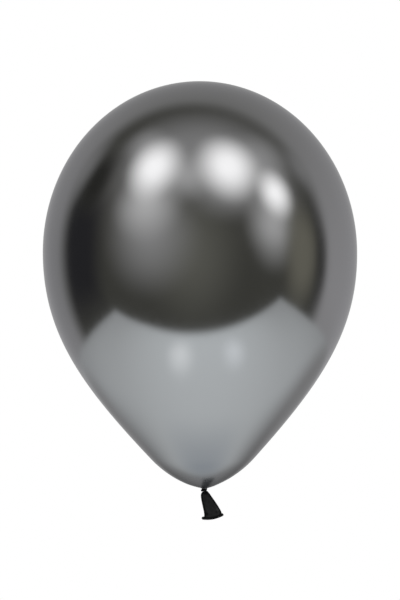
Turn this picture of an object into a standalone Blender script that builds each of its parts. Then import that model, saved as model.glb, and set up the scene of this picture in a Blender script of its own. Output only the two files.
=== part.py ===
"""A party balloon of the 12 inch size in chrome latex, blown up and knotted.

Metres, +Z up along the balloon. The origin is the throat, where the film is drawn
together just above the knot. +X is to the right as photographed, +Y is away from the viewer.
"""

from math import cos, pi, radians, sin

import bmesh
import bpy
from mathutils import Matrix, Vector

MM = 0.001
OBJECT_NAME = "chrome_balloon"

# Envelope: an ellipse above the widest level, and a pear shape drawn in to the neck below it
ENVELOPE_RADIUS = 150 * MM
CROWN_RISE = 163.8 * MM
EQUATOR_HEIGHT = 225.2 * MM
ENVELOPE_OFFSET_X = -1.1 * MM
FILM_WALL = 0.45 * MM

# The pear shape's lower half: it leaves the widest level upright, runs into a straight-looking
# flank at the shoulder point, and rounds off under the balloon in a small nose
FLANK_RADIUS = 49.3 * MM
FLANK_DEPTH = 196.5 * MM
FLANK_ANGLE = radians(47.4)
WIDEST_HANDLE = 74.4 * MM
FLANK_HANDLE_ABOVE = 98.1 * MM
FLANK_HANDLE_BELOW = 29.8 * MM
NOSE_HANDLE = 4.8 * MM

CROWN_SEGMENTS = 12
FLANK_SEGMENTS = 9
NOSE_SEGMENTS = 6
ROUND_STEPS = 48
SMALL_ROUND_STEPS = 24

# Neck, where the gathered film leaves the envelope
GAP = 0.3 * MM
NECK_HOLE_RADIUS = 2.9 * MM
NECK_HOLE_TOP = 8 * MM
NECK_HOLE_BOTTOM = -3 * MM
THROAT_RADIUS = NECK_HOLE_RADIUS - GAP
THROAT_CHAMFER = 0.4 * MM
THROAT_TOP = 3.2 * MM
THROAT_SHOULDER_HEIGHT = 0.9 * MM
THROAT_TAPER_HEIGHT = 0.35 * MM
THROAT_WAIST_RADIUS = 1.4 * MM
THROAT_WAIST_HEIGHT = -0.2 * MM

# Knot: one turn of rolled neck around the strand that passes through it
KNOT_PIVOT_HEIGHT = -1.6 * MM
STRAND_RADIUS = 1.1 * MM
STRAND_BOTTOM = -3.3 * MM
LOOP_HEIGHT = -2.4 * MM
LOOP_RADIUS = 2.5 * MM
LOOP_THICKNESS_RADIUS = 1.05 * MM
LOOP_RING_STEPS = 32
LOOP_ROUND_STEPS = 12

# Tail: the neck below the knot, pressed flat at the top and open at its mouth
TAIL_PIVOT_HEIGHT = -4.7 * MM
TAIL_WALL = 0.6 * MM
TAIL_RING_POINTS = 28

# Sections of the tail's outside, top to bottom, in millimetres. The columns are the left edge's
# x and z, the right edge's x and z, half the depth, and how far the front and back hang lower
# than the edges.
TAIL_SECTIONS = (
    (-0.78, -3.92, 0.78, -3.92, 0.78, 0.0),
    (-1.10, -4.70, 1.10, -4.70, 1.10, 0.0),
    (-1.15, -5.70, 1.90, -5.50, 1.15, 0.0),
    (-3.40, -7.50, 5.30, -6.70, 1.30, 0.0),
    (-3.50, -9.90, 8.40, -9.20, 1.70, 0.0),
    (-2.70, -14.90, 11.40, -14.00, 2.40, 0.2),
    (-1.80, -19.70, 14.00, -18.80, 3.00, 0.5),
    (-1.05, -24.40, 15.80, -22.60, 3.35, 0.9),
    (-0.95, -26.60, 16.10, -24.10, 3.40, 1.3),
)
TAIL_TOP = -3.6
FIRST_HOLLOW_SECTION = 4
HOLLOW_TOP_RISE = 1.2

# Lip: the bead rolled round the mouth, wider than the tail
LIP_LEFT = Vector((-1.4, 0, -28.3)) * MM
LIP_RIGHT = Vector((16.6, 0, -25.75)) * MM
LIP_HALF_DEPTH = 3.75 * MM
LIP_DROOP = 1.4 * MM
LIP_BEAD_RADIUS = 1.3 * MM
LIP_RING_POINTS = 44
LIP_BEVEL_RESOLUTION = 3

MERGE_DISTANCE = 0.01 * MM
PIVOT_MARK_SIZE = 5 * MM


def clear_scene():
    """Removes every object of the open scene."""
    for old in list(bpy.data.objects):
        bpy.data.objects.remove(old, do_unlink=True)


def make_collection(name):
    """A collection of that name in the scene."""
    made = bpy.data.collections.new(name)
    bpy.context.scene.collection.children.link(made)
    return made


def make_material(name, colour, roughness, metallic):
    """A plain material with a Principled BSDF."""
    made = bpy.data.materials.new(name)
    made.use_nodes = True
    shader = made.node_tree.nodes["Principled BSDF"]
    shader.inputs["Base Color"].default_value = (*colour, 1.0)
    shader.inputs["Roughness"].default_value = roughness
    shader.inputs["Metallic"].default_value = metallic
    return made


def add_object(name, data, collection, material=None, parent=None):
    """A new object with that data and material."""
    made = bpy.data.objects.new(name, data)
    collection.objects.link(made)
    if material is not None:
        data.materials.append(material)
    made.parent = parent
    return made


def make_pivot(name, collection, location, parent=None):
    """An empty on a joint's axis. The location is in the parent's frame."""
    pivot = add_object(name, None, collection, parent=parent)
    pivot.empty_display_size = PIVOT_MARK_SIZE
    pivot.location = location
    return pivot


def bezier_point(start, handle_a, handle_b, end, t):
    """The point at t, from 0 to 1, of a cubic curve."""
    s = 1 - t
    return start * s**3 + handle_a * (3 * s * s * t) + handle_b * (3 * s * t * t) + end * t**3


def envelope_profile():
    """Radius and height of the envelope's outside, from the crown down to the nose."""
    points = []
    for i in range(CROWN_SEGMENTS):
        angle = 0.5 * pi * i / CROWN_SEGMENTS
        points.append((ENVELOPE_RADIUS * sin(angle), EQUATOR_HEIGHT + CROWN_RISE * cos(angle)))

    widest = Vector((ENVELOPE_RADIUS, EQUATOR_HEIGHT))
    flank = Vector((FLANK_RADIUS, EQUATOR_HEIGHT - FLANK_DEPTH))
    nose = Vector((0, 0))
    along_flank = Vector((-cos(FLANK_ANGLE), -sin(FLANK_ANGLE)))
    under_widest = widest - Vector((0, WIDEST_HANDLE))
    above_flank = flank - along_flank * FLANK_HANDLE_ABOVE
    below_flank = flank + along_flank * FLANK_HANDLE_BELOW
    beside_nose = Vector((NOSE_HANDLE, 0))
    for i in range(FLANK_SEGMENTS):
        t = i / FLANK_SEGMENTS
        points.append(tuple(bezier_point(widest, under_widest, above_flank, flank, t)))
    for i in range(NOSE_SEGMENTS + 1):
        t = i / NOSE_SEGMENTS
        points.append(tuple(bezier_point(flank, below_flank, beside_nose, nose, t)))
    return points


def turned(name, profile, collection, material, steps, parent=None):
    """A shape turned from a profile of (radius, height) that runs down its outer side."""
    mesh = bpy.data.meshes.new(name)
    outline = [(radius, 0, height) for radius, height in profile]
    edges = [(i, i + 1) for i in range(len(outline) - 1)]
    mesh.from_pydata(outline, edges, [])
    made = add_object(name, mesh, collection, material, parent)
    screw = made.modifiers.new("turn", "SCREW")
    screw.steps = steps
    screw.render_steps = steps
    screw.use_merge_vertices = True
    screw.merge_threshold = MERGE_DISTANCE
    screw.use_smooth_shade = True
    return made


def make_neck_cutter(collection):
    """The upright cylinder that opens the envelope for its neck."""
    height = NECK_HOLE_TOP - NECK_HOLE_BOTTOM
    bpy.ops.mesh.primitive_cylinder_add(
        vertices=SMALL_ROUND_STEPS,
        radius=NECK_HOLE_RADIUS,
        depth=height,
        location=(0, 0, NECK_HOLE_BOTTOM + height / 2),
    )
    cutter = bpy.context.object
    cutter.name = "neck_hole_cutter"
    for owner in list(cutter.users_collection):
        owner.objects.unlink(cutter)
    collection.objects.link(cutter)
    cutter.hide_render = True
    cutter.display_type = "WIRE"
    return cutter


def make_envelope(collection, cutters, material):
    """The blown-up film, a thin shell that is open where the neck leaves it."""
    envelope = turned("envelope", envelope_profile(), collection, material, ROUND_STEPS)
    envelope.location = (ENVELOPE_OFFSET_X, 0, 0)
    film = envelope.modifiers.new("film", "SOLIDIFY")
    film.thickness = FILM_WALL
    film.offset = -1
    film.use_even_offset = True
    opening = envelope.modifiers.new("neck_opening", "BOOLEAN")
    opening.operation = "DIFFERENCE"
    opening.solver = "EXACT"
    opening.object = make_neck_cutter(cutters)
    return envelope


def make_throat(collection, material):
    """The film gathered to a short rope that fills the neck opening and narrows to the knot."""
    profile = (
        (0, THROAT_TOP),
        (THROAT_RADIUS - THROAT_CHAMFER, THROAT_TOP),
        (THROAT_RADIUS, THROAT_TOP - THROAT_CHAMFER),
        (THROAT_RADIUS, THROAT_SHOULDER_HEIGHT),
        (THROAT_RADIUS - THROAT_CHAMFER, THROAT_TAPER_HEIGHT),
        (THROAT_WAIST_RADIUS, THROAT_WAIST_HEIGHT),
        (0, THROAT_WAIST_HEIGHT),
    )
    return turned("neck_throat", profile, collection, material, SMALL_ROUND_STEPS)


def make_knot_loop(collection, material, pivot):
    """The turn of rolled neck that ties the balloon off."""
    bpy.ops.mesh.primitive_torus_add(
        major_radius=LOOP_RADIUS,
        minor_radius=LOOP_THICKNESS_RADIUS,
        major_segments=LOOP_RING_STEPS,
        minor_segments=LOOP_ROUND_STEPS,
    )
    loop = bpy.context.object
    loop.name = "knot_loop"
    for owner in list(loop.users_collection):
        owner.objects.unlink(loop)
    collection.objects.link(loop)
    loop.data.materials.append(material)
    loop.data.shade_smooth()
    loop.parent = pivot
    loop.location = (0, 0, LOOP_HEIGHT - KNOT_PIVOT_HEIGHT)
    return loop


def make_knot_core(collection, material, pivot):
    """The strand inside the loop, with a round top centred on the knot's pivot."""
    rounding = [radians(a) for a in (0, 30, 60, 90)]
    profile = [(STRAND_RADIUS * sin(a), STRAND_RADIUS * cos(a)) for a in rounding]
    bottom = STRAND_BOTTOM - KNOT_PIVOT_HEIGHT
    profile += [
        (STRAND_RADIUS, bottom + GAP),
        (STRAND_RADIUS - GAP, bottom),
        (0, bottom),
    ]
    return turned("knot_core", profile, collection, material, SMALL_ROUND_STEPS, pivot)


def ring_matrix(section, inset):
    """What turns a unit circle in X and Y into one section of the tail, in metres."""
    left_x, left_z, right_x, right_z, half_depth, _ = section
    left = Vector((left_x, 0, left_z))
    right = Vector((right_x, 0, right_z))
    half = (right - left) / 2
    across = half.normalized() * (half.length - inset)
    centre = (left + right) / 2
    columns = (across, Vector((0, half_depth - inset, 0)), Vector((0, 0, 0)), centre)
    rows = [[column[row] * MM for column in columns] for row in range(3)]
    return Matrix((*rows, (0, 0, 0, 1)))


def place_ring(ring, section, inset=0.0):
    """Moves a ring's vertices onto one section of the tail, inside its outline by the inset."""
    droop = section[5] * MM
    matrix = ring_matrix(section, inset)
    for i, vertex in enumerate(ring):
        angle = 2 * pi * i / len(ring)
        vertex.co = matrix @ Vector((cos(angle), sin(angle), 0))
        vertex.co.z -= droop * sin(angle) ** 2


def extrude_ring(bm, edges, ring, section, inset=0.0):
    """Extrudes a ring to the next section, and returns the new edges and the new ring in order."""
    made = bmesh.ops.extrude_edge_only(bm, edges=edges)["geom"]
    new_edges = [item for item in made if isinstance(item, bmesh.types.BMEdge)]
    new_vertices = {item for item in made if isinstance(item, bmesh.types.BMVert)}
    new_ring = []
    for vertex in ring:
        partner = next(
            edge.other_vert(vertex)
            for edge in vertex.link_edges
            if edge.other_vert(vertex) in new_vertices
        )
        new_ring.append(partner)
    place_ring(new_ring, section, inset)
    rim = [edge for edge in new_edges if all(v in new_vertices for v in edge.verts)]
    return rim, new_ring


def close_ring(bm, rim, height_x, height_z):
    """Closes a ring with a fan to one point, given in millimetres."""
    made = bmesh.ops.extrude_edge_only(bm, edges=rim)["geom"]
    tips = [item for item in made if isinstance(item, bmesh.types.BMVert)]
    bmesh.ops.pointmerge(bm, verts=tips, merge_co=(height_x * MM, 0, height_z * MM))


def make_tail(collection, material, pivot):
    """The flared tail: solid where the latex is pressed together, and a hollow cuff below."""
    bm = bmesh.new()
    ring = bmesh.ops.create_circle(bm, segments=TAIL_RING_POINTS, radius=1)["verts"]
    bm.verts.ensure_lookup_table()
    top_ring = list(ring)
    top_rim = list(bm.edges)
    place_ring(ring, TAIL_SECTIONS[0])
    rim = top_rim
    for section in TAIL_SECTIONS[1:]:
        rim, ring = extrude_ring(bm, rim, ring, section)
    wall = TAIL_WALL / MM
    for section in reversed(TAIL_SECTIONS[FIRST_HOLLOW_SECTION:]):
        rim, ring = extrude_ring(bm, rim, ring, section, wall)
    left_x, left_z, right_x, right_z, _, _ = TAIL_SECTIONS[FIRST_HOLLOW_SECTION]
    close_ring(bm, rim, (left_x + right_x) / 2, (left_z + right_z) / 2 + HOLLOW_TOP_RISE)
    outer_edges = [edge for edge in bm.edges if all(v in top_ring for v in edge.verts)]
    close_ring(bm, outer_edges, 0, TAIL_TOP)
    bmesh.ops.remove_doubles(bm, verts=bm.verts, dist=MERGE_DISTANCE)
    bmesh.ops.recalc_face_normals(bm, faces=bm.faces)
    bmesh.ops.translate(bm, verts=bm.verts, vec=(0, 0, -TAIL_PIVOT_HEIGHT))
    mesh = bpy.data.meshes.new("neck_tail")
    bm.to_mesh(mesh)
    bm.free()
    mesh.shade_smooth()
    return add_object("neck_tail", mesh, collection, material, pivot)


def make_lip(collection, material, pivot):
    """The bead rolled round the mouth, a closed flattened ring that hangs a little in the middle."""
    curve = bpy.data.curves.new("rolled_lip", "CURVE")
    curve.dimensions = "3D"
    curve.bevel_depth = LIP_BEAD_RADIUS
    curve.bevel_resolution = LIP_BEVEL_RESOLUTION
    spline = curve.splines.new("POLY")
    spline.points.add(LIP_RING_POINTS - 1)
    spline.use_cyclic_u = True
    centre = (LIP_LEFT + LIP_RIGHT) / 2 - Vector((0, 0, TAIL_PIVOT_HEIGHT))
    half = (LIP_RIGHT - LIP_LEFT) / 2
    for i, point in enumerate(spline.points):
        angle = 2 * pi * i / LIP_RING_POINTS
        place = centre + half * cos(angle)
        place.y = LIP_HALF_DEPTH * sin(angle)
        place.z -= LIP_DROOP * sin(angle) ** 2
        point.co = (*place, 1)
    return add_object("rolled_lip", curve, collection, material, pivot)


def main():
    """Builds the balloon's pieces, each on the pivot that it turns with."""
    clear_scene()
    balloon = make_collection(OBJECT_NAME)
    cutters = make_collection("cutters")

    chrome_film = make_material("chrome_film", (0.33, 0.33, 0.34), 0.18, 1.0)
    gathered_film = make_material("gathered_film", (0.10, 0.10, 0.10), 0.30, 0.6)
    dark_latex = make_material("dark_latex", (0.012, 0.012, 0.013), 0.42, 0.0)
    bead_latex = make_material("bead_latex", (0.006, 0.006, 0.007), 0.38, 0.0)
    loop_latex = make_material("loop_latex", (0.009, 0.009, 0.010), 0.40, 0.0)
    core_latex = make_material("core_latex", (0.008, 0.008, 0.009), 0.45, 0.0)

    make_envelope(balloon, cutters, chrome_film)
    make_throat(balloon, gathered_film)

    knot_pivot = make_pivot("knot_pivot", balloon, (0, 0, KNOT_PIVOT_HEIGHT))
    make_knot_loop(balloon, loop_latex, knot_pivot)
    make_knot_core(balloon, core_latex, knot_pivot)

    tail_drop = TAIL_PIVOT_HEIGHT - KNOT_PIVOT_HEIGHT
    tail_pivot = make_pivot("tail_pivot", balloon, (0, 0, tail_drop), knot_pivot)
    make_tail(balloon, dark_latex, tail_pivot)
    make_lip(balloon, bead_latex, tail_pivot)


main()
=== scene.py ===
"""Looks of a knotted party balloon in graphite chrome latex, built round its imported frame.

Metres, +Z up along the balloon. The origin is the throat, just above the knot. +X is to the right
as photographed and +Y is away from the viewer.
"""

import logging
from collections.abc import Callable
from dataclasses import dataclass, field
from enum import Enum
from math import atan2, cos, exp, hypot, pi, radians, sin, tau

import bmesh
import bpy
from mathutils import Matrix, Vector


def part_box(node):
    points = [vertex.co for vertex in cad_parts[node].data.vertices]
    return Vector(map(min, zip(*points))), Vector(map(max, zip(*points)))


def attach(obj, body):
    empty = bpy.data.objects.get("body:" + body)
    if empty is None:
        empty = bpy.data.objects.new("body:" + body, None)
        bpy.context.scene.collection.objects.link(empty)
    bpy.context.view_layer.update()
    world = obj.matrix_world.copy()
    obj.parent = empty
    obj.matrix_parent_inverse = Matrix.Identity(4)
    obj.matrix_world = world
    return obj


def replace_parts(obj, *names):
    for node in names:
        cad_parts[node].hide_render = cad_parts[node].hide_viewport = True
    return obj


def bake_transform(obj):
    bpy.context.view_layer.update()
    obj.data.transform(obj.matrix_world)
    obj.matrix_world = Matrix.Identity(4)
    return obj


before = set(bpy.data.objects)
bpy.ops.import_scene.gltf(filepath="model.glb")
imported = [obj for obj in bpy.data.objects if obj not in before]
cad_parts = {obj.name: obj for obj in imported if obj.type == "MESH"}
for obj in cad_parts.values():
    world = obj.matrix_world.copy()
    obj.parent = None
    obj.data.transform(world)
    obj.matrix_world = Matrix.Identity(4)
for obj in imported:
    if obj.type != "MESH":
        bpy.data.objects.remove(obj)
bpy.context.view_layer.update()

LOG = logging.getLogger("chrome_balloon")

MM = 0.001
WELD = 0.005 * MM
# Name of the tail's attribute that holds its painted light and shade
PAINTED_LIGHT_AND_SHADE = "shade"

Colour = tuple[float, float, float]
PlaceRule = Callable[[float], Vector]


def smoothstep(low: float, high: float, value: float) -> float:
    """A smooth rise from 0 at low to 1 at high.

    Args:
        low: Where the rise starts. It may be the larger of the two, for a fall.
        high: Where the rise ends.
        value: The number to look up.

    Returns:
        The share of the rise, from 0 to 1.
    """
    share = min(max((value - low) / (high - low), 0.0), 1.0)
    return share * share * (3 - 2 * share)


def bump(value: float, centre: float, width: float) -> float:
    """A bell of height 1 at the centre, which has died away two widths from it."""
    return exp(-(((value - centre) / width) ** 2))


def bezier_point(points: tuple[Vector, Vector, Vector, Vector], share: float) -> Vector:
    """A point of a cubic curve.

    Args:
        points: The start, its handle, the end's handle and the end.
        share: How far along the curve, from 0 to 1.

    Returns:
        The point.
    """
    rest = 1 - share
    start, leave, arrive, end = points
    return (
        start * rest**3
        + leave * (3 * rest * rest * share)
        + arrive * (3 * rest * share * share)
        + end * share**3
    )


def spline_row(rows: tuple[tuple[float, ...], ...], share: float) -> list[float]:
    """Reads a table of sections as one smooth run.

    Args:
        rows: The sections, each with the same columns.
        share: How far through the table, from 0 to 1.

    Returns:
        The columns at that place, on a curve through the sections.
    """
    place = share * (len(rows) - 1)
    index = min(int(place), len(rows) - 2)
    t = place - index
    before, here = rows[max(index - 1, 0)], rows[index]
    there, after = rows[index + 1], rows[min(index + 2, len(rows) - 1)]
    found = []
    for a, b, c, d in zip(before, here, there, after):
        slope_in, slope_out = (c - a) / 2, (d - b) / 2
        found.append(
            b * (2 * t**3 - 3 * t * t + 1)
            + slope_in * (t**3 - 2 * t * t + t)
            + c * (3 * t * t - 2 * t**3)
            + slope_out * (t**3 - t * t)
        )
    return found


def finish_object(mesh: bmesh.types.BMesh, name: str, material: bpy.types.Material) -> bpy.types.Object:
    """Makes a smooth-shaded object from a finished bmesh and frees it.

    Args:
        mesh: The shape, in place in the frame.
        name: The object's name.
        material: Its finish.

    Returns:
        The object, at the origin.
    """
    data = bpy.data.meshes.new(name)
    mesh.to_mesh(data)
    mesh.free()
    data.shade_smooth()
    data.materials.append(material)
    made = bpy.data.objects.new(name, data)
    bpy.context.scene.collection.objects.link(made)
    return made


class RingSkin:
    """A skin grown ring by ring out of one circle, each ring placed by a rule of its angle."""

    def __init__(self, points: int, rule: PlaceRule) -> None:
        """Starts the skin.

        Args:
            points: How many points a ring has.
            rule: Where the first ring's point at an angle lies.
        """
        self.mesh = bmesh.new()
        made = bmesh.ops.create_circle(self.mesh, segments=points, radius=1)
        self.ring: list[bmesh.types.BMVert] = list(made["verts"])
        self.rim: list[bmesh.types.BMEdge] = list(self.mesh.edges)
        self.first_rim = list(self.rim)
        self._place(rule)

    def _place(self, rule: PlaceRule) -> None:
        """Moves the open ring where the rule says."""
        for index, vertex in enumerate(self.ring):
            vertex.co = rule(tau * index / len(self.ring))

    def grow(self, rule: PlaceRule) -> None:
        """Extrudes the open ring and places the new one by the rule."""
        made = bmesh.ops.extrude_edge_only(self.mesh, edges=self.rim)["geom"]
        fresh = {item for item in made if isinstance(item, bmesh.types.BMVert)}
        self.ring = [
            next(edge.other_vert(old) for edge in old.link_edges if edge.other_vert(old) in fresh)
            for old in self.ring
        ]
        self.rim = [
            item
            for item in made
            if isinstance(item, bmesh.types.BMEdge) and all(v in fresh for v in item.verts)
        ]
        self._place(rule)

    def close(self, tip: Vector, at_start: bool = False) -> None:
        """Closes an end with a fan to one point.

        Args:
            tip: The point.
            at_start: Whether it is the first ring that closes, and not the last.
        """
        rim = self.first_rim if at_start else self.rim
        made = bmesh.ops.extrude_edge_only(self.mesh, edges=rim)["geom"]
        tips = [item for item in made if isinstance(item, bmesh.types.BMVert)]
        bmesh.ops.pointmerge(self.mesh, verts=tips, merge_co=tip)

    def join_ends(self) -> None:
        """Bridges the last ring to the first, which closes the skin to a loop."""
        bmesh.ops.bridge_loops(self.mesh, edges=self.first_rim + self.rim)

    def finish(self, name: str, material: bpy.types.Material) -> bpy.types.Object:
        """Welds the skin, turns its faces outwards and makes the object."""
        bmesh.ops.remove_doubles(self.mesh, verts=self.mesh.verts, dist=WELD)
        bmesh.ops.recalc_face_normals(self.mesh, faces=self.mesh.faces)
        return finish_object(self.mesh, name, material)


class NodeSheet:
    """Adds and links the nodes of one tree."""

    def __init__(self, tree: bpy.types.NodeTree) -> None:
        """Takes the tree to write in."""
        self.tree = tree

    def add(self, kind: str, inputs: dict[str | int, object] | None = None, **settings: object) -> bpy.types.Node:
        """Adds a node.

        Args:
            kind: The node's type, without its leading word ShaderNode.
            inputs: A value or an output for each input, by the input's name or number.
            **settings: The node's own properties.

        Returns:
            The node.
        """
        node = self.tree.nodes.new(kind if kind.startswith("Node") else "ShaderNode" + kind)
        for name, value in settings.items():
            setattr(node, name, value)
        for name, value in (inputs or {}).items():
            self.feed(value, node.inputs[name])
        return node

    def feed(self, value: object, socket: bpy.types.NodeSocket) -> None:
        """Gives an input a constant, or links it to an output."""
        if isinstance(value, bpy.types.NodeSocket):
            self.tree.links.new(value, socket)
        else:
            socket.default_value = value

    def group(self, tree: bpy.types.NodeTree, inputs: dict[str, object]) -> bpy.types.Node:
        """Adds a node group.

        Args:
            tree: The group.
            inputs: A value or an output for each input, by its name.

        Returns:
            The group's node.
        """
        node = self.add("Group", node_tree=tree)
        for name, value in inputs.items():
            self.feed(value, node.inputs[name])
        return node

    def math(self, operation: str, *values: object, clamp: bool = False) -> bpy.types.NodeSocket:
        """The output of a Math node."""
        inputs = dict(enumerate(values))
        return self.add("Math", inputs, operation=operation, use_clamp=clamp).outputs[0]

    def vector(self, operation: str, *values: object) -> bpy.types.Node:
        """A Vector Math node."""
        return self.add("VectorMath", dict(enumerate(values)), operation=operation)

    def ramp(self, value: object, low: float, high: float, first: object, last: object) -> bpy.types.NodeSocket:
        """A smooth change of a number.

        Args:
            value: The number to look up.
            low: Where the change starts.
            high: Where it ends.
            first: What comes out before low.
            last: What comes out after high.

        Returns:
            The changed number.
        """
        inputs = {"Value": value, "From Min": low, "From Max": high, "To Min": first, "To Max": last}
        return self.add("MapRange", inputs, interpolation_type="SMOOTHSTEP").outputs["Result"]

    def mix(self, share: object, first: object, last: object) -> bpy.types.NodeSocket:
        """A colour between two, by the share of the last."""
        node = self.add("Mix", data_type="RGBA")
        self.feed(share, node.inputs["Factor"])
        self.feed(first, node.inputs[6])
        self.feed(last, node.inputs[7])
        return node.outputs[2]


def rgba(colour: Colour) -> tuple[float, float, float, float]:
    """A colour with its alpha."""
    return (*colour, 1.0)


def new_group(name: str, takes: dict[str, str], gives: dict[str, str]) -> tuple[NodeSheet, bpy.types.Node, bpy.types.Node]:
    """Starts a shader node group.

    Args:
        name: The group's name.
        takes: The kind of each input, by its name.
        gives: The kind of each output, by its name.

    Returns:
        The sheet to write in, and the group's input and output nodes.
    """
    tree = bpy.data.node_groups.new(name, "ShaderNodeTree")
    for label, kind in takes.items():
        tree.interface.new_socket(label, in_out="INPUT", socket_type="NodeSocket" + kind)
    for label, kind in gives.items():
        tree.interface.new_socket(label, in_out="OUTPUT", socket_type="NodeSocket" + kind)
    sheet = NodeSheet(tree)
    return sheet, sheet.add("NodeGroupInput"), sheet.add("NodeGroupOutput")


def soft_patch_group() -> bpy.types.NodeTree:
    """Builds the group that masks one soft-edged patch of a flat chart."""
    sheet, taken, given = new_group(
        "soft_patch",
        {"Chart": "Vector", "Centre": "Vector", "Half Size": "Vector", "Softness": "Float", "Squareness": "Float"},
        {"Mask": "Float"},
    )
    away = sheet.vector("SUBTRACT", taken.outputs["Chart"], taken.outputs["Centre"])
    scaled = sheet.vector("DIVIDE", away.outputs[0], taken.outputs["Half Size"])
    round_distance = sheet.vector("LENGTH", scaled.outputs[0]).outputs["Value"]
    parts = sheet.add("SeparateXYZ", {0: sheet.vector("ABSOLUTE", scaled.outputs[0]).outputs[0]})
    square_distance = sheet.math("MAXIMUM", parts.outputs["X"], parts.outputs["Y"])
    squarer = sheet.math("SUBTRACT", square_distance, round_distance)
    distance = sheet.math("MULTIPLY_ADD", squarer, taken.outputs["Squareness"], round_distance)
    full_until = sheet.math("SUBTRACT", 1.0, taken.outputs["Softness"])
    mask = sheet.ramp(distance, full_until, 1.0, 1.0, 0.0)
    sheet.feed(mask, given.inputs["Mask"])
    return sheet.tree


def room_patch_group(soft_patch: bpy.types.NodeTree) -> bpy.types.NodeTree:
    """Builds the group that masks one soft-edged patch of the room, seen by its direction.

    Args:
        soft_patch: The soft_patch group.

    Returns:
        The group. Its half size is in degrees.
    """
    sheet, taken, given = new_group(
        "room_patch",
        {
            "Direction": "Vector",
            "Turn": "Vector",
            "Lean": "Float",
            "Half Size": "Vector",
            "Softness": "Float",
            "Squareness": "Float",
        },
        {"Mask": "Float"},
    )
    faced = sheet.add(
        "VectorRotate",
        {"Vector": taken.outputs["Direction"], "Rotation": taken.outputs["Turn"]},
        rotation_type="EULER_XYZ",
        invert=True,
    )
    parts = sheet.add("SeparateXYZ", {0: faced.outputs[0]})
    toward = sheet.math("MULTIPLY", parts.outputs["Y"], -1.0)
    across = sheet.math("DEGREES", sheet.math("ARCTAN2", parts.outputs["X"], toward))
    above = sheet.math("DEGREES", sheet.math("ARCSINE", parts.outputs["Z"]))
    chart = sheet.add("CombineXYZ", {"X": across, "Y": above})
    upright = sheet.add(
        "VectorRotate",
        {"Vector": chart.outputs[0], "Angle": taken.outputs["Lean"]},
        rotation_type="Z_AXIS",
        invert=True,
    )
    inputs = {name: taken.outputs[name] for name in ("Half Size", "Softness", "Squareness")}
    mask = sheet.group(soft_patch, {"Chart": upright.outputs[0], **inputs})
    sheet.feed(mask.outputs["Mask"], given.inputs["Mask"])
    return sheet.tree


def latex_skin_group() -> bpy.types.NodeTree:
    """Builds the group for the skin of latex: its tone, its dulling and its relief."""
    sheet, taken, given = new_group(
        "latex_skin",
        {"Vector": "Vector", "Crease Scale": "Float", "Grain Scale": "Float", "Crease Stretch": "Vector"},
        {"Tone": "Float", "Dulling": "Float", "Height": "Float"},
    )
    along = sheet.vector("MULTIPLY", taken.outputs["Vector"], taken.outputs["Crease Stretch"]).outputs[0]
    crease_inputs = {"Vector": along, "Scale": taken.outputs["Crease Scale"], "Detail": 3.0, "Distortion": 0.4}
    creases = sheet.add("TexNoise", crease_inputs, noise_type="RIDGED_MULTIFRACTAL").outputs["Fac"]
    grain_inputs = {"Vector": taken.outputs["Vector"], "Scale": taken.outputs["Grain Scale"], "Detail": 4.0}
    grain = sheet.add("TexNoise", grain_inputs).outputs["Fac"]
    cloud_scale = sheet.math("MULTIPLY", taken.outputs["Grain Scale"], 0.12)
    cloud_inputs = {"Vector": taken.outputs["Vector"], "Scale": cloud_scale, "Detail": 2.0}
    clouds = sheet.add("TexNoise", cloud_inputs).outputs["Fac"]
    height = sheet.math("MULTIPLY_ADD", grain, 0.25, sheet.math("MULTIPLY", creases, 0.5))
    sheet.feed(sheet.ramp(clouds, 0.25, 0.75, 0.0, 1.0), given.inputs["Tone"])
    sheet.feed(sheet.ramp(grain, 0.3, 0.7, 0.0, 1.0), given.inputs["Dulling"])
    sheet.feed(height, given.inputs["Height"])
    return sheet.tree


def principled(name: str) -> tuple[bpy.types.Material, NodeSheet, bpy.types.Node, bpy.types.NodeSocket]:
    """Starts a material.

    Args:
        name: The material's name.

    Returns:
        The material, its sheet, its shader and its object coordinates.
    """
    material = bpy.data.materials.new(name)
    material.use_nodes = True
    sheet = NodeSheet(material.node_tree)
    shader = material.node_tree.nodes["Principled BSDF"]
    return material, sheet, shader, sheet.add("TexCoord").outputs["Object"]


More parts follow.
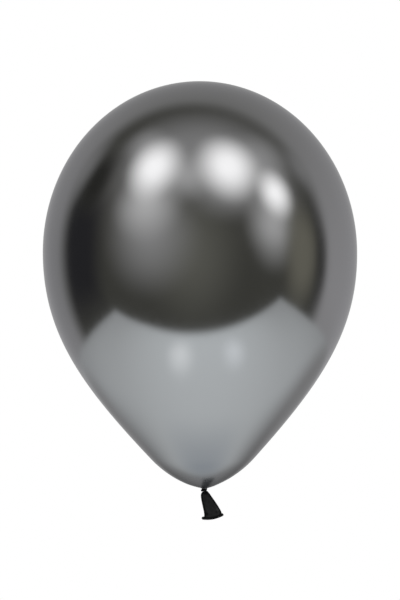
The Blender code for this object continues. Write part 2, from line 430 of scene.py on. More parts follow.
@dataclass(frozen=True)
class ChromeFilm:
    """The mirror-like film of the blown-up envelope, darker where it is stretched less."""

    stretched: Colour = (0.315, 0.315, 0.318)
    slack: Colour = (0.27, 0.27, 0.275)
    edge_tint: Colour = (0.78, 0.78, 0.79)
    roughness: float = 0.13
    slack_roughness: float = 0.34
    slack_until: float = 26 * MM
    crown_spot: float = 16 * MM
    cloudiness: float = 0.03
    wave_height: float = 0.004 * MM

    def material(self, skin: bpy.types.NodeTree) -> bpy.types.Material:
        """Builds the material.

        Args:
            skin: The latex_skin group.

        Returns:
            The material.
        """
        material, sheet, shader, place = principled("chrome_film")
        height = sheet.add("SeparateXYZ", {0: place}).outputs["Z"]
        looks = sheet.group(
            skin,
            {"Vector": place, "Crease Scale": 14.0, "Grain Scale": 160.0, "Crease Stretch": (1, 1, 0.4)},
        )
        at_neck = sheet.ramp(height, self.slack_until, 0.0, 0.0, 1.0)
        crown = (0, 0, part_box("envelope")[1].z)
        from_crown = sheet.vector("DISTANCE", place, crown).outputs["Value"]
        at_crown = sheet.ramp(from_crown, self.crown_spot, 0.0, 0.0, 0.35)
        slackness = sheet.math("ADD", at_neck, at_crown, clamp=True)
        tone = sheet.math("MULTIPLY_ADD", looks.outputs["Tone"], self.cloudiness, slackness, clamp=True)
        sheet.feed(sheet.mix(tone, rgba(self.stretched), rgba(self.slack)), shader.inputs["Base Color"])
        dulled = sheet.math("MULTIPLY_ADD", looks.outputs["Dulling"], 0.015, self.roughness)
        gain = self.slack_roughness - self.roughness
        sheet.feed(sheet.math("MULTIPLY_ADD", slackness, gain, dulled), shader.inputs["Roughness"])
        relief = sheet.add("Bump", {"Strength": 1.0, "Distance": self.wave_height, "Height": looks.outputs["Height"]})
        sheet.feed(relief.outputs["Normal"], shader.inputs["Normal"])
        shader.inputs["Metallic"].default_value = 1.0
        shader.inputs["Specular Tint"].default_value = rgba(self.edge_tint)
        return material


@dataclass(frozen=True)
class DarkLatex:
    """Unstretched latex, nearly black, satin, with creases and a bloom of powder."""

    name: str
    colour: Colour = (0.0016, 0.0016, 0.0016)
    bloom: Colour = (0.005, 0.005, 0.005)
    roughness: float = 0.36
    metallic: float = 0.0
    gloss: float = 0.12
    # Whether the colour is scaled by the painted light and shade stored on the piece's points
    shaded: bool = False
    crease_scale: float = 420.0
    crease_height: float = 0.12 * MM
    crease_stretch: tuple[float, float, float] = (1.0, 1.0, 0.25)

    def material(self, skin: bpy.types.NodeTree) -> bpy.types.Material:
        """Builds the material.

        Args:
            skin: The latex_skin group.

        Returns:
            The material.
        """
        material, sheet, shader, place = principled(self.name)
        looks = sheet.group(
            skin,
            {
                "Vector": place,
                "Crease Scale": self.crease_scale,
                "Grain Scale": 2600.0,
                "Crease Stretch": self.crease_stretch,
            },
        )
        colour = sheet.mix(looks.outputs["Tone"], rgba(self.colour), rgba(self.bloom))
        # The cuff's colour is scaled by the painted light and shade stored on the tail's points
        if self.shaded:
            shade = sheet.add("Attribute", attribute_name=PAINTED_LIGHT_AND_SHADE).outputs["Fac"]
            scaled = sheet.add("VectorMath", {"Vector": colour, "Scale": shade}, operation="SCALE")
            colour = scaled.outputs["Vector"]
        sheet.feed(colour, shader.inputs["Base Color"])
        dulled = sheet.math("MULTIPLY_ADD", looks.outputs["Dulling"], 0.12, self.roughness)
        sheet.feed(dulled, shader.inputs["Roughness"])
        relief = sheet.add("Bump", {"Strength": 0.6, "Distance": self.crease_height, "Height": looks.outputs["Height"]})
        sheet.feed(relief.outputs["Normal"], shader.inputs["Normal"])
        shader.inputs["Metallic"].default_value = self.metallic
        shader.inputs["Specular IOR Level"].default_value = self.gloss
        return material


@dataclass
class Pleats:
    """The folds of gathered film round the neck: rounded ridges with sharp valleys."""

    count: int = 14
    sharpness: float = 0.7
    unevenness: float = 0.35
    twist: float = 0.0

    def depth(self, angle: float, height: float = 0.0) -> float:
        """How deep the fold is, from 0 on a ridge to 1 in a valley.

        Args:
            angle: The angle round the neck.
            height: How high up, in metres, which turns twisted pleats.

        Returns:
            The depth.
        """
        turned = angle + self.twist * height
        phase = self.count * turned / 2 + self.unevenness * sin(3 * turned + 0.6)
        ridge = abs(sin(phase)) ** self.sharpness
        return (1 - ridge) * (0.75 + 0.25 * sin(2 * turned + 1.9))


@dataclass
class Envelope:
    """The blown-up film: an ellipse above the widest level, a pear shape drawn in below it."""

    crown_rise: float = 163.8 * MM
    flank_radius: float = 49.3 * MM
    flank_depth: float = 196.5 * MM
    flank_angle: float = radians(47.4)
    widest_handle: float = 74.4 * MM
    flank_handle_above: float = 98.1 * MM
    flank_handle_below: float = 29.8 * MM
    nose_handle: float = 4.8 * MM
    nose_share: float = 0.8
    neck_radius: float = 2.45 * MM
    neck_bottom: float = -0.55 * MM
    film: float = 0.3 * MM
    pleat_depth: float = 0.30 * MM
    pleats_from: float = 13 * MM
    centred_within: float = 4 * MM
    offset_beyond: float = 18 * MM
    steps: int = 196
    crown_steps: int = 54
    flank_steps: int = 46
    nose_steps: int = 26
    neck_steps: int = 12
    pleats: Pleats = field(default_factory=Pleats)

    def __post_init__(self) -> None:
        """Reads the widest radius, the axis and the crown from the frame."""
        low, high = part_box("envelope")
        self.radius = (high.x - low.x) / 2
        self.axis_x = (high.x + low.x) / 2
        self.crown = high.z

    def profile(self) -> list[Vector]:
        """The outside's radius and height from the crown to the neck."""
        level = self.crown - self.crown_rise
        points = []
        for index in range(self.crown_steps):
            angle = 0.5 * pi * index / self.crown_steps
            points.append(Vector((self.radius * sin(angle), level + self.crown_rise * cos(angle))))
        widest = Vector((self.radius, level))
        flank = Vector((self.flank_radius, level - self.flank_depth))
        along = Vector((-cos(self.flank_angle), -sin(self.flank_angle)))
        under_widest = widest - Vector((0, self.widest_handle))
        upper = (widest, under_widest, flank - along * self.flank_handle_above, flank)
        nose = (flank, flank + along * self.flank_handle_below, Vector((self.nose_handle, 0)), Vector((0, 0)))
        points += [bezier_point(upper, i / self.flank_steps) for i in range(self.flank_steps)]
        points += [bezier_point(nose, self.nose_share * i / self.nose_steps) for i in range(self.nose_steps)]
        root = bezier_point(nose, self.nose_share)
        neck = Vector((self.neck_radius, self.neck_bottom))
        inward = (root - bezier_point(nose, self.nose_share - 0.01)).normalized()
        fillet = (root, root + inward * (1.7 * MM), neck + Vector((0, 0.75 * MM)), neck)
        points += [bezier_point(fillet, i / self.neck_steps) for i in range(self.neck_steps + 1)]
        return points

    def build(self, material: bpy.types.Material) -> bpy.types.Object:
        """Turns the film, draws it to the neck in pleats and gives it its wall.

        Args:
            material: The film's finish.

        Returns:
            The film.
        """
        mesh = bmesh.new()
        outline = self.profile()
        tip = bmesh.ops.create_vert(mesh, co=(outline[0].x, 0, outline[0].y))["vert"][0]
        for point in outline[1:]:
            tip = bmesh.ops.extrude_vert_indiv(mesh, verts=[tip])["verts"][0]
            tip.co = (point.x, 0, point.y)
        bmesh.ops.spin(
            mesh,
            geom=[*mesh.verts, *mesh.edges],
            axis=(0, 0, 1),
            cent=(0, 0, 0),
            steps=self.steps,
            angle=tau,
            use_merge=True,
        )
        bmesh.ops.remove_doubles(mesh, verts=mesh.verts, dist=WELD)
        bmesh.ops.recalc_face_normals(mesh, faces=mesh.faces)
        if max(mesh.faces, key=lambda face: face.calc_center_median().z).normal.z < 0:
            bmesh.ops.reverse_faces(mesh, faces=mesh.faces)
        mesh.normal_update()
        for vertex in mesh.verts:
            self._gather(vertex)
        made = finish_object(mesh, "balloon_film", material)
        wall = made.modifiers.new("film", "SOLIDIFY")
        wall.thickness = self.film
        wall.offset = -1
        return made

    def _gather(self, vertex: bmesh.types.BMVert) -> None:
        """Presses the pleats into a point near the neck, and moves it to the envelope's own axis."""
        reach = hypot(vertex.co.x, vertex.co.y)
        below = vertex.co.z < self.pleats_from
        strength = smoothstep(self.pleats_from, self.neck_radius, reach) if below else 0.0
        if strength > 0:
            depth = self.pleats.depth(atan2(vertex.co.y, vertex.co.x))
            vertex.co -= vertex.normal * (self.pleat_depth * strength**2 * depth)
        off_axis = smoothstep(self.centred_within, self.offset_beyond, reach) if below else 1.0
        vertex.co.x += self.axis_x * off_axis


@dataclass
class Throat:
    """The neck's film drawn together to a rope between the envelope and the knot."""

    points: int = 112
    twist: float = radians(38) / MM
    # Heights and radii from the top, inside the film, to the bottom, inside the knot
    sections: tuple[tuple[float, float], ...] = (
        (0.75, 1.70),
        (0.20, 2.35),
        (-0.40, 2.62),
        (-0.90, 2.62),
        (-1.40, 2.35),
        (-2.00, 1.80),
        (-2.70, 1.30),
        (-3.40, 1.15),
    )
    pleat_depth: float = 0.24 * MM
    rings: int = 34

    def build(self, material: bpy.types.Material) -> bpy.types.Object:
        """Builds the gathered neck.

        Args:
            material: Its finish.

        Returns:
            The neck's rope.
        """
        pleats = Pleats(twist=self.twist)

        def ring(share: float) -> PlaceRule:
            """Where the ring at a share of the way down lies."""
            height, radius = (value * MM for value in spline_row(self.sections, share))

            def place(angle: float) -> Vector:
                """A point of the ring."""
                reach = radius - self.pleat_depth * pleats.depth(angle, min(height, 0.0))
                return Vector((reach * cos(angle), reach * sin(angle), height))

            return place

        skin = RingSkin(self.points, ring(0))
        for index in range(1, self.rings):
            skin.grow(ring(index / (self.rings - 1)))
        skin.close(Vector((0, 0, self.sections[0][0] * MM + 0.2 * MM)), at_start=True)
        skin.close(Vector((0, 0, self.sections[-1][0] * MM - 0.2 * MM)))
        return skin.finish("gathered_neck", material)


@dataclass
class Knot:
    """The turn of rolled neck that ties the balloon off, and the strand inside it."""

    turn_radius: float = 2.10 * MM
    lean_left: float = 0.42 * MM
    rope_radius: float = 0.95 * MM
    start_angle: float = radians(35)
    sweep: float = radians(415)
    # Share of the turn, height of the rope's middle in millimetres
    heights: tuple[tuple[float, float], ...] = (
        (0.0, -0.95),
        (0.2, -1.10),
        (0.4, -1.60),
        (0.6, -2.00),
        (0.8, -2.20),
        (1.0, -2.75),
    )
    tuck: float = 0.14
    tucked_radius: float = 1.1 * MM
    rope_points: int = 40
    rope_rings: int = 190
    groove: float = 0.07 * MM
    lump: float = 0.06
    fatter_left: float = 0.22
    strand_radius: float = 1.25 * MM
    strand_top: float = -1.2 * MM
    strand_bottom: float = -4.2 * MM
    strand_rings: int = 30

    def path_point(self, share: float) -> Vector:
        """The middle of the rope at a share of its turn."""
        angle = self.start_angle - self.sweep * share
        from_end = min(share, 1 - share)
        radius = self.tucked_radius + (self.turn_radius - self.tucked_radius) * smoothstep(0, self.tuck, from_end)
        height = spline_row(self.heights, share)[1] * MM
        left = self.lean_left * smoothstep(0, self.tuck, from_end)
        return Vector((radius * cos(angle) - left, radius * sin(angle), height))

    def rope_ring(self, share: float) -> PlaceRule:
        """Where the points of the rope's ring at a share of the turn lie."""
        step = 0.004
        here = self.path_point(share)
        along = (self.path_point(min(share + step, 1)) - self.path_point(max(share - step, 0))).normalized()
        out = Vector((here.x, here.y, 0)).normalized()
        side = along.cross(out).normalized()
        out = side.cross(along)
        from_end = min(share, 1 - share)
        radius = self.rope_radius * (0.62 + 0.38 * smoothstep(0, self.tuck, from_end))
        radius *= 1 + self.lump * sin(5.3 * share * tau + 0.8)
        tallness = 0.92 + self.fatter_left * max(-here.x, 0.0) / self.turn_radius

        def place(angle: float) -> Vector:
            """A point of the ring, with the rolled neck's slanting grooves."""
            slant = 7 * angle + 23 * share * tau / 2
            pinch = 0.5 - 0.5 * cos(angle)
            reach = radius - self.groove * (1 - abs(sin(slant / 2)) ** 0.6)
            reach -= self.groove * pinch * (0.5 + 0.5 * sin(61 * share * tau))
            return here + out * (reach * cos(angle)) + side * (tallness * reach * sin(angle))

        return place

    def build_turn(self, material: bpy.types.Material) -> bpy.types.Object:
        """Builds the rolled turn round the neck."""
        skin = RingSkin(self.rope_points, self.rope_ring(0))
        for index in range(1, self.rope_rings):
            skin.grow(self.rope_ring(index / (self.rope_rings - 1)))
        skin.close(self.path_point(0), at_start=True)
        skin.close(self.path_point(1))
        return skin.finish("knot_turn", material)

    def build_strand(self, material: bpy.types.Material) -> bpy.types.Object:
        """Builds the twisted strand that passes down through the turn."""

        def ring(share: float) -> PlaceRule:
            """Where the ring at a share of the way down lies."""
            height = self.strand_top + (self.strand_bottom - self.strand_top) * share
            radius = self.strand_radius * (0.8 + 0.2 * sin(pi * share))

            def place(angle: float) -> Vector:
                """A point of the ring, grooved like twisted film."""
                reach = radius - 0.16 * MM * (1 - abs(sin(3 * angle + 2.2 * share * pi)) ** 0.7)
                return Vector((reach * cos(angle), reach * sin(angle), height))

            return place

        skin = RingSkin(72, ring(0))
        for index in range(1, self.strand_rings):
            skin.grow(ring(index / (self.strand_rings - 1)))
        skin.close(Vector((0, 0, self.strand_top + 0.1 * MM)), at_start=True)
        skin.close(Vector((0, 0, self.strand_bottom - 0.1 * MM)))
        return skin.finish("knot_strand", material)


@dataclass
class Tail:
    """The neck below the knot: pressed flat with a thick fold down each side, open at its mouth."""

    # Columns: the left edge's x and z, the right edge's x and z, half the depth, and how far the
    # front and back hang lower than the edges, in millimetres
    sections: tuple[tuple[float, ...], ...] = (
        (-0.90, -3.00, 1.90, -2.10, 0.90, 0.0),
        (-2.30, -3.50, 3.30, -3.00, 1.05, 0.0),
        (-3.15, -5.00, 4.85, -4.90, 1.20, 0.0),
        (-3.52, -7.00, 6.45, -7.25, 1.40, 0.0),
        (-3.20, -10.40, 8.75, -10.60, 1.75, 0.0),
        (-2.45, -14.40, 11.30, -14.40, 2.25, 0.2),
        (-1.50, -19.00, 14.00, -18.90, 2.85, 0.5),
        (-0.75, -23.20, 15.80, -22.30, 3.20, 0.9),
        (-0.55, -26.00, 16.25, -24.20, 3.40, 1.2),
        (-0.85, -27.60, 16.35, -25.00, 3.40, 1.3),
    )
    # Painted highlights (a positive change) and painted shade in the notch and beside the crease's highlight (a
    # negative change): x, z and radius in millimetres, and the change
    painted_spots: tuple[tuple[float, float, float, float], ...] = (
        (-1.0, -7.4, 1.0, 0.35),
        (4.9, -9.3, 1.2, 0.35),
        (12.1, -19.6, 1.1, 1.5),
        (12.6, -21.0, 0.9, 1.1),
        (8.5, -26.0, 1.6, 0.3),
        (1.9, -24.2, 1.3, -1.2),
        (11.6, -22.2, 0.9, -0.9),
    )
    # Width of the painted shade along each folded edge
    band_width: float = 2.5 * MM
    wall: float = 0.5 * MM
    flatness: float = 0.55
    fold_height: float = 0.42 * MM
    fold_in: float = 1.15 * MM
    fold_width: float = 0.75 * MM
    crease_depth: float = 0.40 * MM
    crease_in: float = 2.55 * MM
    crease_width: float = 0.5 * MM
    hollow_from: float = 0.38
    points: int = 176
    rings: int = 92
    inner_rings: int = 26

    def place(self, share: float, angle: float, inset: float = 0.0) -> Vector:
        """A point of the tail's skin.

        Args:
            share: How far down, from 0 at the knot to 1 at the mouth.
            angle: The angle round the section, 0 at the right edge and 90 degrees at the back.
            inset: How far inside the outline, for the inner wall.

        Returns:
            The point.
        """
        left_x, left_z, right_x, right_z, half_depth, droop = (
            value * MM for value in spline_row(self.sections, share)
        )
        left, right = Vector((left_x, 0, left_z)), Vector((right_x, 0, right_z))
        half = (right - left) / 2
        half_width = half.length
        across = cos(angle)
        side = sin(angle)
        point = (left + right) / 2 + half * (across * (half_width - inset) / half_width)
        depth = (half_depth - inset) * abs(side) ** self.flatness
        if inset == 0:
            depth += self._relief(point, share, across, side, half_width)
        point.y = depth if side > 0 else -depth
        point.z -= droop * side * side
        return point

    def _relief(self, point: Vector, share: float, across: float, side: float, half_width: float) -> float:
        """How far the skin stands out at a point: its folds, creases and wrinkles."""
        from_edge = half_width * (1 - abs(across))
        room = smoothstep(0.0, 0.3, abs(side)) * smoothstep(0.04, 0.2, share)
        relief = self.fold_height * bump(from_edge, self.fold_in, self.fold_width)
        relief -= self.crease_depth * bump(from_edge, self.crease_in, self.crease_width)
        front = 1.0 if side < 0 else 0.6
        fan = atan2(point.x - 1.2 * MM, -point.z - 1.0 * MM)
        gathers = cos(19 * fan + 0.9) + 0.5 * cos(31 * fan + 2.4)
        relief += 0.13 * MM * gathers * smoothstep(0.55, 0.1, share) * front
        slack = sin(point.x / (2.6 * MM) + point.z / (5.5 * MM))
        relief += 0.10 * MM * slack * smoothstep(0.3, 0.7, share) * front
        if side < 0:
            relief -= 0.50 * MM * bump(point.x, 1.6 * MM, 1.3 * MM) * bump(point.z, -23.6 * MM, 1.8 * MM)
            relief += 0.30 * MM * bump(point.x - 0.45 * (-point.z - 20 * MM), 11.6 * MM, 0.6 * MM) * bump(
                point.z, -20.3 * MM, 2.6 * MM
            )
        return relief * room

    def shade(self, point: Vector) -> float:
        """How bright the latex is painted at a point: painted shade, down to 0, along the folded edges and next to the
        knot, 1 on the panel, and painted highlights over 1.
        """
        share = min(max((-point.z - 3 * MM) / (24 * MM), 0.0), 1.0) * 0.75 + 0.2
        left_x, _, right_x, *_ = (value * MM for value in spline_row(self.sections, share))
        from_edge = min(point.x - left_x, right_x - point.x)
        # Painted shade along both folded edges, fading out over the band's width
        pale = smoothstep(self.band_width * 0.45, self.band_width, from_edge)
        # Painted shade at the top, next to the knot
        pale *= smoothstep(-4.6 * MM, -6.4 * MM, point.z)
        # Painted highlights and painted shade in spots
        for x, z, radius, change in self.painted_spots:
            away = hypot(point.x - x * MM, point.z - z * MM) / (radius * MM)
            pale += change * exp(-away * away)
        return min(max(pale, 0.0), 3.0)

    def build(self, material: bpy.types.Material) -> bpy.types.Object:
        """Builds the tail: its outside down to the mouth, then the inner wall back up.

        Args:
            material: Its finish.

        Returns:
            The tail.
        """
        skin = RingSkin(self.points, lambda angle: self.place(0, angle))
        for index in range(1, self.rings):
            share = index / (self.rings - 1)
            skin.grow(lambda angle, share=share: self.place(share, angle))
        for index in range(self.inner_rings):
            share = 1 - (1 - self.hollow_from) * index / (self.inner_rings - 1)
            skin.grow(lambda angle, share=share: self.place(share, angle, self.wall))
        inner_end = (self.place(self.hollow_from, 0, self.wall) + self.place(self.hollow_from, pi, self.wall)) / 2
        skin.close(inner_end + Vector((0, 0, 0.8 * MM)))
        top = (self.place(0, 0) + self.place(0, pi)) / 2
        skin.close(top + Vector((0, 0, 0.3 * MM)), at_start=True)
        # Stores the painted light and shade on each point, for the cuff's colour
        painted_layer = skin.mesh.verts.layers.float.new(PAINTED_LIGHT_AND_SHADE)
        for vertex in skin.mesh.verts:
            vertex[painted_layer] = self.shade(vertex.co)
        return skin.finish("neck_tail_cuff", material)


@dataclass
class RolledLip:
    """The bead rolled round the mouth, with fatter ears at its two ends."""

    left: Vector = field(default_factory=lambda: Vector((-1.5, 0, -28.4)) * MM)
    right: Vector = field(default_factory=lambda: Vector((16.45, 0, -25.45)) * MM)
    half_depth: float = 3.7 * MM
    droop: float = 1.35 * MM
    bead: float = 1.18 * MM
    ear: float = 0.34 * MM
    seam: float = 0.16 * MM
    pucker: float = 0.05 * MM
    puckers: int = 46
    points: int = 36
    rings: int = 300

    def path_point(self, angle: float) -> Vector:
        """The middle of the bead at an angle round the mouth."""
        point = (self.left + self.right) / 2 + (self.right - self.left) / 2 * cos(angle)
        point.y = self.half_depth * sin(angle)
        point.z -= self.droop * sin(angle) ** 2
        return point

    def bead_ring(self, round_mouth: float) -> PlaceRule:
        """Where the points of the bead's ring at an angle round the mouth lie."""
        here = self.path_point(round_mouth)
        along = (self.path_point(round_mouth + 0.01) - self.path_point(round_mouth - 0.01)).normalized()
        out = along.cross(Vector((0, 0, 1))).normalized()
        up = out.cross(along)
        at_ear = abs(cos(round_mouth)) ** 6
        radius = self.bead + self.ear * at_ear
        wrinkle = self.pucker * abs(sin(self.puckers * round_mouth / 2 + 0.7 * sin(5 * round_mouth)))

        def place(angle: float) -> Vector:
            """A point of the ring, with the groove where the roll meets the cuff."""
            reach = radius - self.seam * bump(angle, radians(130), radians(16))
            reach -= wrinkle * (0.5 + 0.5 * sin(angle))
            return here + out * (reach * cos(angle)) + up * (reach * 0.98 * sin(angle))

        return place

    def build(self, material: bpy.types.Material) -> bpy.types.Object:
        """Builds the bead as one closed loop."""
        skin = RingSkin(self.points, self.bead_ring(0))
        for index in range(1, self.rings):
            skin.grow(self.bead_ring(tau * index / self.rings))
        skin.join_ends()
        return skin.finish("lip_bead", material)


class PatchShape(Enum):
    """How square a patch of light is."""

    ROUND = 0.0
    SOFT_SQUARE = 0.7


@dataclass(frozen=True)
class Patch:
    """A soft-edged patch of light or shade, painted over what is under it."""

    across: float
    up: float
    half_width: float
    half_height: float
    colour: Colour
    softness: float = 1.0
    shape: PatchShape = PatchShape.ROUND
    lean: float = 0.0

    @property
    def half_size(self) -> Colour:
        """The half width and half height, as a vector that divides a chart."""
        return (self.half_width, self.half_height, 1.0)


def grey(level: float) -> Colour:
    """A neutral grey of that level."""
    return (level, level, level)


@dataclass
class Studio:
    """The room that the film mirrors: a white table, a pale tent behind and lamps in a dark room."""

    table_height: float = -0.30
    # Corners of the table as x and y, counter-clockwise from the left
    table_corners: tuple[tuple[float, float], ...] = (
        (-1.08, -0.47),
        (-0.50, -0.57),
        (1.24, -0.72),
        (0.87, 1.60),
        (-0.755, 1.60),
    )
    table_fade: tuple[float, float] = (-0.05, 0.07)
    table_colour: Colour = (0.70, 0.725, 0.735)
    tent_side: Vector = field(default_factory=lambda: Vector((0.15, 1.0, 0.0)))
    tent_edge: tuple[float, float] = (0.17, 0.50)
    tent_rise: tuple[float, float] = (-15.0, 80.0)
    tent_low: Colour = (0.66, 0.655, 0.67)
    tent_high: Colour = (0.40, 0.40, 0.39)
    room: Colour = (0.115, 0.115, 0.10)

    # Painted light and shade in the table's glow, in metres: brighter at the front, darker at the left side, the
    # balloon's painted shadow behind and under it, and two painted glows of the lamps
    painted_table_light: tuple[Patch, ...] = (
        # Painted light, brighter towards the front
        Patch(0.05, -0.10, 1.50, 1.25, (1.08, 1.13, 1.15)),
        Patch(0.0, -0.55, 0.85, 0.75, (1.26, 1.33, 1.36)),
        # Darker at the left side
        Patch(-1.15, 0.30, 0.35, 1.10, (0.60, 0.62, 0.63)),
        # The balloon's painted shadow, behind it and right under it
        Patch(0.12, 1.10, 1.00, 1.08, grey(0.50), 0.35),
        Patch(0.0, 0.38, 0.58, 0.48, grey(0.27)),
        Patch(0.0, 0.55, 0.35, 0.25, grey(0.16)),
        Patch(0.0, 0.22, 0.24, 0.14, grey(0.45), 0.8),
        Patch(0.0, 0.0, 0.26, 0.16, (0.70, 0.76, 0.82), 0.9),
        # Painted glows of the two lamps on the table
        Patch(-0.145, -0.40, 0.13, 0.17, (1.75, 1.82, 1.85)),
        Patch(0.226, -0.394, 0.12, 0.16, (1.60, 1.68, 1.74)),
    )
    # Directions in degrees, to the right of the camera as the balloon sees it and above the horizon
    room_patches: tuple[Patch, ...] = (
        Patch(0, 70, 84, 42, grey(0.53)),
        Patch(-5, 0, 44, 50, (0.26, 0.26, 0.225)),
        Patch(-36, 10, 42, 36, grey(0.62)),
        Patch(-42, 27, 30, 24, grey(1.20)),
        Patch(25, 38, 34, 24, grey(0.60)),
        Patch(-12, 47.5, 26, 21, grey(0.95)),
        Patch(55, 14, 25, 26, grey(0.98)),
        Patch(79, 0, 20, 30, (0.33, 0.32, 0.26), 0.8),
        Patch(-97, 2, 28, 34, (0.045, 0.045, 0.05), 0.7, PatchShape.SOFT_SQUARE),
        Patch(-98, 32, 18, 20, (0.05, 0.05, 0.045), 0.8),
        Patch(98, 0, 9, 34, (0.09, 0.09, 0.085), 0.8),
        Patch(66, 50, 30, 22, grey(0.72)),
        Patch(-76, 60, 20, 15, grey(0.70)),
        Patch(-118, 31, 13, 20, grey(0.38)),
        Patch(103, 35, 14, 14, grey(0.40)),
        Patch(-47, 50, 22.5, 25, grey(2.95), 0.9, lean=18),
        Patch(31, 52, 25, 27, grey(2.92), 0.9, lean=-14),
        Patch(64.5, 30.5, 17, 17, grey(2.95), 0.95),
    )
    tent_patches: tuple[Patch, ...] = (
        Patch(-115, -5, 60, 60, (0.50, 0.50, 0.51)),
        Patch(150, -40, 60, 30, grey(0.50)),
        Patch(97, -3, 11, 30, grey(0.08)),
        Patch(180, 10, 45, 60, grey(0.50)),
    )

    def build(self, soft_patch: bpy.types.NodeTree, room_patch: bpy.types.NodeTree) -> None:
        """Builds the floor, the table and the room's light.

        Args:
            soft_patch: The soft_patch group.
            room_patch: The room_patch group.
        """
        self._floor()
        self._table(soft_patch)
        self._room(room_patch)

    def _card(self, name: str, reach: float, height: float) -> tuple[bpy.types.Object, NodeSheet]:
        """A flat square card with an empty material.

        Args:
            name: The card's name.
            reach: Half its side.
            height: Its height.

        Returns:
            The card and its material's sheet.
        """
        mesh = bmesh.new()
        bmesh.ops.create_grid(mesh, x_segments=1, y_segments=1, size=reach)
        bmesh.ops.translate(mesh, verts=mesh.verts, vec=(0, 0, height))
        material = bpy.data.materials.new(name)
        material.use_nodes = True
        material.node_tree.nodes.clear()
        card = finish_object(mesh, name, material)
        return card, NodeSheet(material.node_tree)

    def _floor(self) -> None:
        """The plain pale floor, seen by the camera from above only, so that the view from below is free."""
        floor, sheet = self._card("floor", 40.0, self.table_height - 0.01)
        white = sheet.add("Emission", {"Color": rgba((1, 1, 1)), "Strength": 1.0})
        below = sheet.add("NewGeometry").outputs["Backfacing"]
        clear = sheet.add("BsdfTransparent")
        surface = sheet.add("MixShader", {0: below, 1: white.outputs[0], 2: clear.outputs[0]})
        sheet.add("OutputMaterial", {"Surface": surface.outputs[0]})
        floor.visible_glossy = floor.visible_diffuse = floor.visible_shadow = False

    def _table(self, soft_patch: bpy.types.NodeTree) -> None:
        """A glowing card for the white table that the film's lower half mirrors, which the camera doesn't see; its glow
        holds painted light and the balloon's painted shadow.

        Args:
            soft_patch: The soft_patch group.
        """
        table, sheet = self._card("table", 2.0, self.table_height)
        place = sheet.add("TexCoord").outputs["Object"]
        chart = sheet.vector("MULTIPLY", place, (1, 1, 0)).outputs[0]
        colour = rgba(self.table_colour)
        # Paints the light and shade into the table's glow, each patch over the ones before
        for patch in self.painted_table_light:
            inputs = {"Chart": chart, "Centre": (patch.across, patch.up, 0), "Half Size": patch.half_size}
            mask = sheet.group(soft_patch, {**inputs, "Softness": patch.softness})
            colour = sheet.mix(mask.outputs["Mask"], colour, rgba(patch.colour))
        glow = sheet.add("Emission", {"Color": colour, "Strength": 1.0})
        clear = sheet.add("BsdfTransparent")
        on_table = sheet.ramp(self._from_edge(sheet, chart), *self.table_fade, 0.0, 1.0)
        surface = sheet.add("MixShader", {0: on_table, 1: clear.outputs[0], 2: glow.outputs[0]})
        sheet.add("OutputMaterial", {"Surface": surface.outputs[0]})
        table.visible_camera = False

    def _from_edge(self, sheet: NodeSheet, chart: bpy.types.NodeSocket) -> bpy.types.NodeSocket:
        """How far inside the table's nearest edge a place lies.

        Args:
            sheet: Where the nodes go.
            chart: The place on the table.

        Returns:
            The output with the distance in metres.
        """
        nearest = None
        for here, there in zip(self.table_corners, self.table_corners[1:] + self.table_corners[:1]):
            corner = Vector((*here, 0))
            along = (Vector((*there, 0)) - corner).normalized()
            inward = Vector((-along.y, along.x, 0))
            reach = sheet.vector("DOT_PRODUCT", chart, inward).outputs["Value"]
            inside = sheet.math("SUBTRACT", reach, inward.dot(corner))
            nearest = inside if nearest is None else sheet.math("MINIMUM", nearest, inside)
        return nearest

    def _room(self, room_patch: bpy.types.NodeTree) -> None:
        """The world: white to the camera, and the lamps, the tent and the dark room to the balloon.

        Args:
            room_patch: The room_patch group.
        """
        world = bpy.data.worlds.new("studio")
        world.use_nodes = True
        world.node_tree.nodes.clear()
        bpy.context.scene.world = world
        sheet = NodeSheet(world.node_tree)
        direction = sheet.add("TexCoord").outputs["Generated"]

        def paint(colour: object, patches: tuple[Patch, ...]) -> object:
            """Paints patches over a colour, each over the ones before."""
            for patch in patches:
                inputs = {
                    "Direction": direction,
                    "Turn": (-radians(patch.up), 0, radians(patch.across)),
                    "Lean": radians(patch.lean),
                    "Half Size": patch.half_size,
                    "Softness": patch.softness,
                    "Squareness": patch.shape.value,
                }
                mask = sheet.group(room_patch, inputs)
                colour = sheet.mix(mask.outputs["Mask"], colour, rgba(patch.colour))
            return colour

        height = sheet.add("SeparateXYZ", {0: direction}).outputs["Z"]
        above = sheet.math("DEGREES", sheet.math("ARCSINE", height))
        up_tent = sheet.ramp(above, *self.tent_rise, 0.0, 1.0)
        tent = paint(sheet.mix(up_tent, rgba(self.tent_low), rgba(self.tent_high)), self.tent_patches)
        depth = sheet.vector("DOT_PRODUCT", direction, self.tent_side).outputs["Value"]
        in_tent = sheet.ramp(depth, *self.tent_edge, 0.0, 1.0)
        room = paint(rgba(self.room), self.room_patches)
        mirrored = sheet.add("Background", {"Color": sheet.mix(in_tent, room, tent)})
        seen = sheet.add("Background", {"Color": rgba((1, 1, 1))})
        by_camera = sheet.add("LightPath").outputs["Is Camera Ray"]
        surface = sheet.add("MixShader", {0: by_camera, 1: mirrored.outputs[0], 2: seen.outputs[0]})
        sheet.add("OutputWorld", {"Surface": surface.outputs[0]})


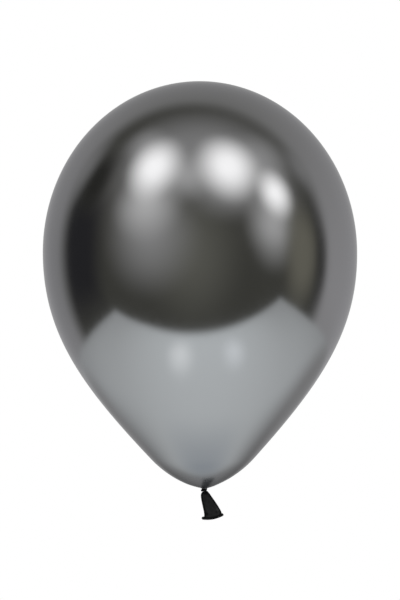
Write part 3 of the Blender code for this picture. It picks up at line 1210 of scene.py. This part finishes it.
@dataclass
class PhotoCamera:
    """The camera at the photograph's place: level, square on and 1.9 m away."""

    distance: float = 1.9
    across: float = -1.7 * MM
    height: float = 180.35 * MM
    frame_height: float = 574.2 * MM
    sensor: float = 36.0
    roll: float = 0.0139

    def build(self) -> bpy.types.Object:
        """Builds the camera and makes it the scene's own."""
        data = bpy.data.cameras.new("photo_camera")
        data.sensor_width = self.sensor
        data.lens = self.sensor * self.distance / self.frame_height
        camera = bpy.data.objects.new("photo_camera", data)
        camera.location = (self.across, -self.distance, self.height)
        camera.rotation_euler = (pi / 2, self.roll, 0)
        bpy.context.scene.collection.objects.link(camera)
        bpy.context.scene.camera = camera
        return camera


@dataclass
class Balloon:
    """The whole balloon, dressed and tied to the frame's bodies."""

    envelope: Envelope = field(default_factory=Envelope)
    throat: Throat = field(default_factory=Throat)
    knot: Knot = field(default_factory=Knot)
    tail: Tail = field(default_factory=Tail)
    lip: RolledLip = field(default_factory=RolledLip)

    def build(self, skin: bpy.types.NodeTree) -> list[bpy.types.Object]:
        """Builds every piece, and ties the film, the knot's turn and strand and the lip to the body each moves with.

        Args:
            skin: The latex_skin group.

        Returns:
            The pieces.
        """
        chrome = ChromeFilm().material(skin)
        gathered = DarkLatex("gathered_film", (0.004, 0.004, 0.004), (0.009, 0.009, 0.009), 0.32).material(skin)
        rolled = DarkLatex("rolled_latex", crease_stretch=(1.0, 1.0, 1.0)).material(skin)
        panel = DarkLatex("cuff_latex", (0.0135, 0.0135, 0.0135), (0.021, 0.021, 0.021), 0.42, shaded=True)
        cuff = panel.material(skin)
        bead = DarkLatex("bead_latex").material(skin)

        film = self.envelope.build(chrome)
        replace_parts(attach(film, "envelope"), "envelope")

        neck = self.throat.build(gathered)
        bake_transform(neck)
        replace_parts(neck, "neck_throat")

        turn = self.knot.build_turn(rolled)
        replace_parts(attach(turn, "knot"), "knot_loop")
        strand = self.knot.build_strand(rolled)
        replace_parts(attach(strand, "knot"), "knot_core")

        cuff_piece = self.tail.build(cuff)
        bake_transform(cuff_piece)
        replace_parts(cuff_piece, "neck_tail")

        lip = self.lip.build(bead)
        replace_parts(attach(lip, "tail"), "rolled_lip")
        return [film, neck, turn, strand, cuff_piece, lip]


def main() -> None:
    """Builds the camera, the studio and the balloon."""
    logging.basicConfig(level=logging.INFO, format="%(message)s")
    bpy.context.scene.view_settings.view_transform = "Standard"
    PhotoCamera().build()
    soft_patch = soft_patch_group()
    Studio().build(soft_patch, room_patch_group(soft_patch))
    for piece in Balloon().build(latex_skin_group()):
        LOG.info("%s: %d points", piece.name, len(piece.data.vertices))


if __name__ == "__main__":
    main()
